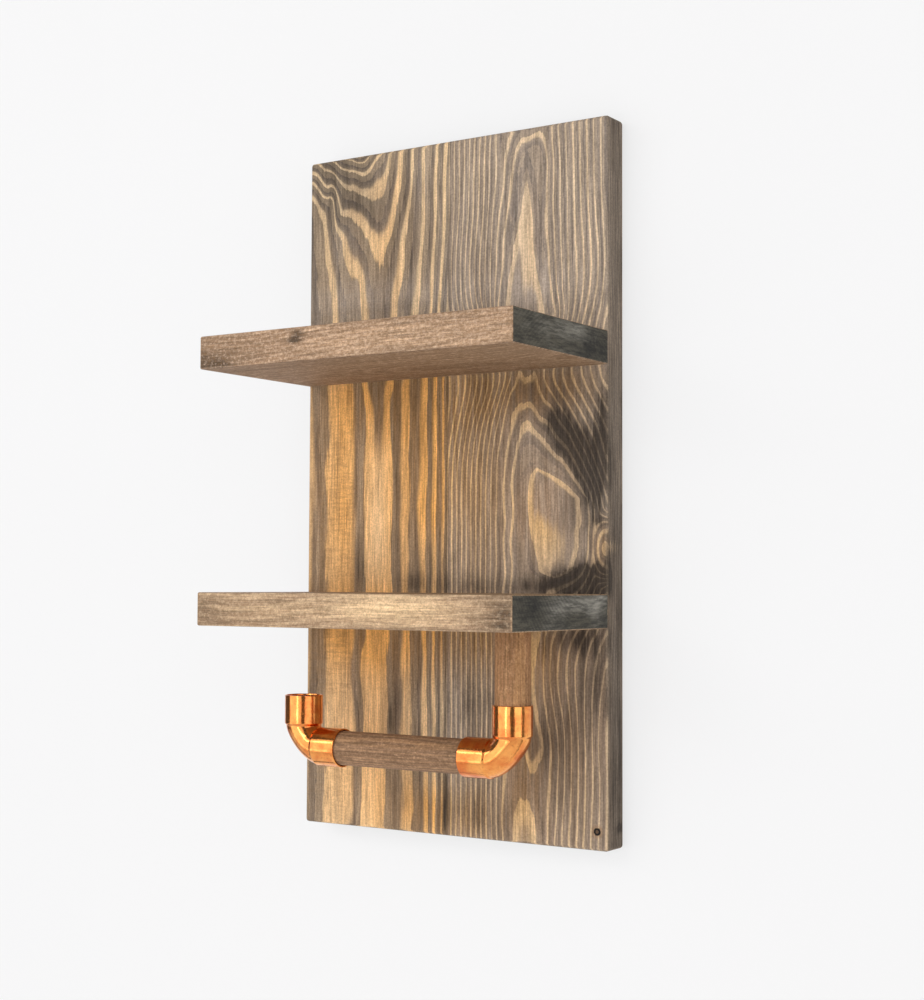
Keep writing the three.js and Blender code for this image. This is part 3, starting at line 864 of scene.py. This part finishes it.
def shelf(name, node, box, pith, pitch, material, dark, warm, end_dark, end_lift):
    """A shelf whose rings are round a pith line along X. pith is its y and z in millimetres from the
    shelf's lower back corner."""
    low, high = box
    obj = grid_box(name, low, high, (3 * MM, 3 * MM, 2.1 * MM))
    ease_edges(obj, SHELF_ARRIS, keep_sharp=lambda p: abs(p.y - high.y) < 0.1 * MM)
    hand_planed(obj, low.y, 0.15 * MM)
    level = node.split("_")[0]
    own = [n for n in SCREW_NODES if n.startswith(level)]
    tools = screw_holes(own)
    if node == "lower_shelf":
        tools += screw_holes(["post_screw"])
        seat = DOWEL_RADIUS + 0.3 * MM
        bore = [(seat, low.z - 2 * MM), (seat, POST[1].z + 0.3 * MM)]
        tools.append(turned_tool(bore, ROUND_SEGMENTS, Matrix.Translation((POST_X, ARM_Y, 0))))
    carve(obj, tools)
    at = points_of(obj)
    x = (at[:, 0] - low.x) / MM
    y = (at[:, 1] - high.y) / MM
    z = (at[:, 2] - low.z) / MM
    drift = 5 * np.sin(x / 61 + 1.0) + 2.2 * np.sin(x / 23)
    rings = np.sqrt((y - pith[0]) ** 2 + (z - pith[1] + drift) ** 2) / pitch
    on_front = at[:, 1] - low.y < 1.2 * MM
    on_end = np.minimum(x, BOARD_WIDTH - x) < 0.7
    back = -y
    set_values(
        obj,
        rings=rings,
        share=np.ones(len(x)),
        dark=np.where(on_end, patches(back, z, end_dark), np.where(on_front, patches(x, z, dark), 0.12)),
        warm=np.where(on_end, patches(back, z, end_lift), np.where(on_front, patches(x, z, warm), 0.3)),
        fresh=on_front.astype(float),
        worn=on_arris(at, low, high, SHELF_ARRIS) * np.where(x > 230, 0.2, 0.8),
    )
    return finish_piece(obj, node, material)


def build_shelves():
    # The shelves' stain and brown colours are partly the stain's own and partly lightened: painted warm bounce
    # light on the undersides.
    upper = wood_material(
        "stained_pine_upper_shelf", 0, 0.2, seed=7.7, stain=colour(150, 120, 92), brown=colour(158, 122, 86),
        pale=colour(214, 184, 156), gold=colour(214, 172, 130), line_strength=0.3, speckled=0.75,
        fresh=(colour(154, 124, 98), colour(178, 147, 118)),
    )
    lower = wood_material(
        "stained_pine_lower_shelf", 0, 0.2, seed=2.9, stain=colour(148, 120, 92), brown=colour(158, 122, 86),
        pale=colour(222, 192, 156), gold=colour(228, 194, 146), line_strength=0.3, speckled=0.5,
        fresh=(colour(162, 133, 106), colour(228, 194, 150)),
    )
    shelf(
        "upper_shelf_board", "upper_shelf", UPPER_SHELF, (-40, -62), 2.4, upper,
        dark=[
            (79, 15.5, 5.5, 3.2, 1.5), (75, 13.2, 4, 2.4, 0.9), (13, 3, 18, 7, 0.75), (2, 10, 4, 12, 0.4),
            # (150, 0, 60, 1.5, 0.3) is a painted shade line along the bottom edge of the shelf's front
            (150, 0, 60, 1.5, 0.3), (34, 10, 50, 18, 0.22),
        ],
        warm=[(150, 11, 64, 12, 0.75), (232, 8, 30, 12, 0.3)],
        end_dark=[(20, 9, 10, 8, 1.2), (4, 9, 6, 12, 0.6), (36, 4, 20, 5, 0.3), (105, 6, 10, 9, 0.3)],
        end_lift=[(60, 12, 26, 6, 0.25), (36, 17, 8, 4, 0.4)],
    )
    shelf(
        "lower_shelf_board", "lower_shelf", LOWER_SHELF, (-20, 58), 2.6, lower,
        dark=[
            (6, 12, 16, 12, 0.35), (44, 10, 44, 18, 0.14), (226, 9, 12, 16, 0.75), (205, 5, 14, 4, 0.3),
            # (120, 0, 70, 1.5, 0.3) is a painted shade line along the bottom edge of the shelf's front
            (120, 0, 70, 1.5, 0.3),
        ],
        warm=[(150, 12, 46, 9, 0.9), (60, 10, 40, 8, 0.25)],
        end_dark=[(92, 13, 18, 7, 0.7), (50, 4, 22, 4, 0.6), (4, 4, 9, 8, 0.6)],
        end_lift=[(50, 15, 24, 6, 0.9), (18, 13, 12, 6, 0.8), (8, 18, 7, 4, 0.8)],
    )


# --- dowels --------------------------------------------------------------------------------------

def dowel(name, node, along, material, dark):
    low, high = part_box(node)
    centre = (low + high) / 2
    start, end = low[along], high[along]
    chamfer = 0.8 * MM
    steps = grid_lines(start + chamfer, end - chamfer, 1.5 * MM)
    across = [i for i in range(3) if i != along]
    rings = []
    tip = DOWEL_RADIUS - chamfer
    for place, radius in [(start, tip)] + [(s, DOWEL_RADIUS) for s in steps] + [(end, tip)]:
        ring = []
        for a in turns(ROUND_SEGMENTS):
            point = [0.0, 0.0, 0.0]
            point[along] = place
            wobble = 0.07 * MM * noise.noise(Vector((3 * math.cos(a), 3 * math.sin(a), place * 16)))
            point[across[0]] = centre[across[0]] + (radius + wobble) * math.cos(a)
            point[across[1]] = centre[across[1]] + (radius + wobble) * math.sin(a)
            ring.append(point)
        rings.append(ring)
    obj = mesh_object(name, *loft(rings), smooth=True)
    recalculate(obj)
    if node == "post_dowel":
        carve(obj, screw_holes(["post_screw"]))
    obj.data.set_sharp_from_angle(angle=math.radians(35))
    at = points_of(obj)
    u = (at[:, across[0]] - centre[across[0]]) / MM
    v = (at[:, across[1]] - centre[across[1]]) / MM
    s = (at[:, along] - start) / MM
    rings = np.sqrt((u + 19) ** 2 + (v - 14 + 1.5 * np.sin(s / 37)) ** 2) / 2.1
    count = len(at)
    set_values(obj, rings=rings, share=np.ones(count), dark=np.full(count, dark), warm=np.full(count, 0.2))
    return finish_piece(obj, node, material)


def build_dowels():
    bar = wood_material(
        "stained_dowel_bar", 0, 0.16, seed=3.3, stain=colour(128, 98, 74), brown=colour(146, 110, 80),
        pale=colour(184, 146, 112), line_strength=0.3, speckled=0.7,
    )
    dowel("bar", "bar_dowel", 0, bar, dark=0.08)
    post = wood_material(
        "stained_dowel_post", 2, 0.16, seed=5.9, stain=colour(164, 120, 84), brown=colour(178, 128, 82),
        pale=colour(206, 160, 114), line_strength=0.3, speckled=0.6,
    )
    dowel("post", "post_dowel", 2, post, dark=0.2)


# --- copper elbows -------------------------------------------------------------------------------

def bezier(a, b, t):
    """A point on the curve from a by way of b to their mirror images in the elbow's slanting axis."""
    c, d = b[::-1], a[::-1]
    s = 1 - t
    corners = zip(a, b, c, d)
    return tuple(s ** 3 * p + 3 * s * s * t * q + 3 * s * t * t * r + t ** 3 * w for p, q, r, w in corners)


def swap(section):
    """The same section seen from the other cup: the elbow is the same both ways round."""
    outer, inner, across = section
    return (outer[1], outer[0]), (inner[1], inner[0]), across


def cup_sections(inset):
    """Sections of the upright cup from mouth to shoulder. A section is its outer point, its inner
    point and its half width across, in the plane of the two axes, with the corner at 0, 0."""
    mouth, start = ELBOW_REACH, ELBOW_REACH - CUP_LENGTH
    if inset:
        wall = CUP_RADIUS - COPPER_WALL
        sizes = [(wall + RIM_FILLET, mouth), (wall + 0.1 * MM, mouth - 0.1 * MM), (wall, mouth - RIM_FILLET)]
        sizes += [(wall, h) for h in grid_lines(mouth - 1 * MM, start + 0.6 * MM, -1 * MM)]
        sizes += [(wall - 0.15 * MM, start + 0.1 * MM), (THROAT_RADIUS, start - 0.2 * MM)]
    else:
        wall, round_off = CUP_RADIUS, 0.09 * MM
        sizes = [(wall - RIM_FILLET, mouth), (wall - round_off, mouth - round_off), (wall, mouth - RIM_FILLET)]
        sizes += [(wall, h) for h in grid_lines(mouth - 1 * MM, start + 0.5 * MM, -1 * MM)]
        for i in range(7):
            t = i / 6
            ease = t * t * (3 - 2 * t)
            shoulder = start + 0.3 * MM - (SHOULDER_LENGTH - 0.2 * MM) * t
            sizes.append((wall - (wall - TUBE_RADIUS) * ease, shoulder))
    return [((-r, h), (r, h), r) for r, h in sizes]


def bend_sections(inset):
    """Sections round the bend. The outer wall runs flatter than a circle, as a pressed elbow's does."""
    edge = TUBE_RADIUS - inset
    start = ELBOW_REACH - CUP_LENGTH - SHOULDER_LENGTH
    lean, reach = 2.7 * MM, 9.6 * MM
    sections = []
    count = 26
    for i in range(1, count):
        t = i / count
        outer = bezier((-edge, start), (lean - edge, start - reach), t)
        crotch = start + 0.25 * MM + (0.8 * MM if inset else 0)
        inner = bezier((edge, crotch), (edge + 0.3 * MM, crotch - 0.5 * MM), t)
        sections.append((outer, inner, edge))
    return sections


def elbow(name, node, corner_x, side, material):
    """An end-feed elbow. side is +1 where its level cup points to +X, and -1 where it points to -X."""
    upright = cup_sections(0)
    outside = upright + bend_sections(0) + [swap(s) for s in reversed(upright)]
    upright = cup_sections(COPPER_WALL)
    inside = upright + bend_sections(COPPER_WALL) + [swap(s) for s in reversed(upright)]
    rings = []
    for outer, inner, across in outside + inside[::-1]:
        centre = [(a + b) / 2 for a, b in zip(outer, inner)]
        half = [(b - a) / 2 for a, b in zip(outer, inner)]
        ring = []
        for a in turns(ROUND_SEGMENTS):
            s = centre[0] + half[0] * math.cos(a)
            h = centre[1] + half[1] * math.cos(a)
            y = across * math.sin(a)
            sway = 0.05 * MM * noise.noise(Vector((s * 90, y * 90, h * 90 + corner_x * 50)))
            ring.append((corner_x + side * (s + sway), ARM_Y + y, BAR_Z + h + sway))
        rings.append(ring)
    obj = mesh_object(name, *loft(rings, ring_loop=True), smooth=True)
    recalculate(obj)
    obj.data.set_sharp_from_angle(angle=math.radians(50))
    return finish_piece(obj, node, material)


def build_elbows():
    copper = copper_material()
    elbow("copper_elbow_corner", "corner_elbow", POST_X, -1, copper)
    elbow("copper_elbow_end", "end_elbow", END_X, 1, copper)


# --- screws and hangers --------------------------------------------------------------------------

def screw(node, material):
    """A countersunk wood screw with a cross recess and a cut thread."""
    low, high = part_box(node)
    size = high - low
    along = max(range(3), key=lambda i: size[i])
    length = size[along]
    head = min(size) / 2
    core, crest = head * 0.38, head * 0.54
    pitch = head * 0.62
    cone = head * 0.72
    thread_from = length * 0.42
    rows = grid_lines(0, length, 0.35 * MM)
    rings = []
    for depth in rows:
        ring = []
        for a in turns(SCREW_SEGMENTS):
            if depth < 0.3 * MM:
                radius = head - 0.12 * MM * (depth == 0)
            elif depth < cone:
                radius = head - (head - crest * 0.93) * (depth - 0.3 * MM) / (cone - 0.3 * MM)
            elif depth < thread_from:
                radius = crest * 0.93
            else:
                turn = (depth / pitch - a / (2 * math.pi)) % 1
                radius = core + (crest - core) * max(0.0, 1 - abs(turn - 0.5) * 3.2)
            radius *= min(1.0, (length - depth) / (head * 1.4) + 0.04)
            ring.append((radius * math.cos(a), radius * math.sin(a), -depth))
        rings.append(ring)
    obj = mesh_object(node + "_detail", *loft(rings), smooth=True)
    recalculate(obj)
    arm, half, deep = head * 0.62, head * 0.12, head * 0.6
    tools = []
    for turn in (0, math.pi / 2):
        tool = box_tool((-arm, -half, -deep), (arm, half, MM))
        for vertex in tool.data.vertices:
            if vertex.co.z < 0:
                vertex.co.x *= 0.5
        tool.data.transform(Matrix.Rotation(turn + 0.35, 4, "Z"))
        tools.append(tool)
    carve(obj, tools)
    obj.data.set_sharp_from_angle(angle=math.radians(32))
    centre = (low + high) / 2
    if along == 1:
        turned_back = Matrix.Rotation(-math.pi / 2, 4, "X")
        obj.data.transform(Matrix.Translation((centre.x, high.y, centre.z)) @ turned_back)
    else:
        obj.data.transform(Matrix.Translation((centre.x, centre.y, high.z)))
    return finish_piece(obj, node, material)


def circle_points(cx, cz, radius, start=0, sweep=360, steps=40):
    angles = [math.radians(start + sweep * i / steps) for i in range(steps + (sweep < 360))]
    return [(cx + radius * math.cos(a), cz + radius * math.sin(a)) for a in angles]


def hanger(node, material):
    """A stamped keyhole plate with softened edges."""
    low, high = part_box(node)
    x, z = (low.x + high.x) / 2, (low.z + high.z) / 2
    slot, hole = 2.5 * MM, 4.8 * MM
    neck = math.degrees(math.acos(slot / hole))
    outlines = [
        rounded_outline(low.x, high.x, low.z, high.z, 4 * MM),
        circle_points(x, z + 5 * MM, slot, 0, 180, 20)
        + circle_points(x, z - 4 * MM, hole, 180 - neck, 180 + 2 * neck, 40),
        circle_points(x, z - 15.5 * MM, 3.15 * MM),
        circle_points(x, z + 15.5 * MM, 3.15 * MM),
    ]
    soft = 0.15 * MM
    curve = bpy.data.curves.new(node, "CURVE")
    curve.dimensions, curve.fill_mode = "2D", "BOTH"
    curve.extrude = (high.y - low.y) / 2 - soft
    curve.bevel_depth, curve.bevel_resolution = soft, 2
    curve.offset = -soft
    for outline in outlines:
        spline = curve.splines.new("POLY")
        spline.points.add(len(outline) - 1)
        for point, (px, pz) in zip(spline.points, outline):
            point.co = (px, pz, 0, 1)
        spline.use_cyclic_u = True
    shape = linked(node, curve)
    bpy.context.view_layer.update()
    evaluated = shape.evaluated_get(bpy.context.evaluated_depsgraph_get())
    mesh = bpy.data.meshes.new_from_object(evaluated)
    bpy.data.objects.remove(shape)
    mesh.transform(Matrix.Translation((0, (low.y + high.y) / 2, 0)) @ Matrix.Rotation(math.pi / 2, 4, "X"))
    with edited(mesh) as weld:
        bmesh.ops.remove_doubles(weld, verts=weld.verts, dist=1e-6)
        bmesh.ops.recalc_face_normals(weld, faces=weld.faces)
    return finish_piece(linked(node + "_detail", mesh), node, material)


def build_hardware():
    steel = steel_material()
    for node in SCREW_NODES:
        screw(node, steel)
    for node in HANGER_PLATES:
        hanger(node, steel)


# --- stage ---------------------------------------------------------------------------------------

def plain_material(name, tint, glow):
    g = Graph(name)
    mottle = g.noise(g.stretch(g.place(), (3, 3, 3)))
    g.surface({"Base Color": g.mix(g.times(mottle, 0.08), tint, STAIN), "Roughness": 0.9})
    g.surface({"Specular IOR Level": 0.1, "Emission Color": (1, 1, 1, 1), "Emission Strength": glow})
    return g


def one_sided(g):
    """The wall shows only from the front, so that the object's back can be seen through it."""
    behind = g.node("ShaderNodeNewGeometry").outputs["Backfacing"]
    clear = g.node("ShaderNodeBsdfTransparent").outputs[0]
    pick = g.node("ShaderNodeMixShader", {0: behind, 1: g.shader.outputs[0], 2: clear})
    g.join(pick.outputs[0], g.tree.nodes["Material Output"].inputs["Surface"])


def rectangle(name, across, depth, height, material):
    """A flat stage piece, upright where its depth is one number and level where its height is."""
    (x0, x1), (y0, y1), (z0, z1) = across, depth, height
    if y0 == y1:
        corners = [(x0, y0, z0), (x1, y0, z0), (x1, y0, z1), (x0, y0, z1)]
    else:
        corners = [(x0, y0, z0), (x1, y0, z0), (x1, y1, z0), (x0, y1, z0)]
    piece = mesh_object(name, corners, [(0, 1, 2, 3)])
    piece.data.materials.append(material)
    return piece


def build_wall_and_floor():
    paint = plain_material("wall_paint", colour(124, 124, 125), glow=0.685)
    one_sided(paint)
    wall = rectangle("stage_wall", STAGE_SPAN, (WALL_Y, WALL_Y), (FLOOR_Z, 4), paint.owner)
    wall.visible_shadow = wall.visible_diffuse = False
    pale = plain_material("pale_floor", colour(150, 150, 152), glow=0.62)
    floor = rectangle("stage_floor", STAGE_SPAN, STAGE_SPAN, (FLOOR_Z, FLOOR_Z), pale.owner)


def build_cards():
    """Dark cards flat on the wall, out of the picture, that only the polished copper sees."""
    near_left, near_right, far, away = 0.34, 0.5, 5.0, -1 * MM
    black = Graph("black_card")
    black.surface({"Base Color": (0.01, 0.01, 0.01, 1)})
    for side, across in (("left", (-far, -near_left)), ("right", (near_right, far))):
        card = rectangle("stage_card_" + side, across, (away, away), (-1.5, 3.0), black.owner)
        card.visible_camera = card.visible_diffuse = card.visible_shadow = False


def area_light(name, place, size, power):
    data = bpy.data.lights.new(name, "AREA")
    data.shape = "RECTANGLE"
    data.size, data.size_y = size
    data.energy = power
    lamp = linked(name, data)
    lamp.location = place
    lamp.rotation_mode = "QUATERNION"
    lamp.rotation_quaternion = (LIGHT_AIM - Vector(place)).to_track_quat("-Z", "Y")
    lamp.visible_camera = False


def around(azimuth, elevation, distance):
    """A place round the object: azimuth 0 is in front, and positive turns towards +X."""
    a, e = math.radians(azimuth), math.radians(elevation)
    level = distance * math.cos(e)
    return (level * math.sin(a), -level * math.cos(a), distance * math.sin(e))


def build_lights():
    area_light("key_softbox", around(-18, 6, 2.4), (3.7, 2.7), 42)
    area_light("key_strip", around(-4, 10, 2.2), (0.26, 2.2), 7)
    area_light("level_strip", around(-33, 21, 2.2), (2.2, 0.18), 5)
    area_light("right_softbox", around(62, 4, 2.4), (1.7, 2.0), 16)
    area_light("rear_softbox", around(205, 20, 2.6), (2.4, 1.8), 42)


def build_world():
    """An even pale surround that polished metal sees as darker in front and lighter behind."""
    studio = Graph("studio", bpy.data.worlds, "Background")
    ray = studio.node("ShaderNodeLightPath").outputs
    way = studio.node("ShaderNodeSeparateXYZ", {0: studio.node("ShaderNodeTexCoord").outputs["Generated"]})
    reflected = studio.span(way.outputs["Y"], -0.1, 0.3, 0.1, 0.7, smooth=False)
    glow = WORLD_GLOW
    for test, value in (("Is Glossy Ray", reflected), ("Is Camera Ray", WORLD_SEEN)):
        glow = studio.node("ShaderNodeMix", {0: ray[test], 2: glow, 3: value}).outputs[0]
    studio.surface({"Color": (1, 1, 1, 1), "Strength": glow})
    bpy.context.scene.world = studio.owner


def build_camera():
    data = bpy.data.cameras.new("camera")
    data.lens, data.sensor_width = CAMERA_LENS, SENSOR_WIDTH
    data.clip_start, data.clip_end = 0.05, 50
    camera = linked("camera", data)
    camera.location = CAMERA_PLACE
    camera.rotation_mode = "QUATERNION"
    level = CAMERA_FORWARD.to_track_quat("-Z", "Y")
    camera.rotation_quaternion = level @ Matrix.Rotation(CAMERA_ROLL, 3, "Z").to_quaternion()
    bpy.context.scene.camera = camera


def plain_view():
    view = bpy.context.scene.view_settings
    view.view_transform = "Standard"
    view.look = "None"


build_camera()
build_planks()
build_shelves()
build_dowels()
build_elbows()
build_hardware()
build_wall_and_floor()
build_cards()
build_lights()
build_world()
plain_view()
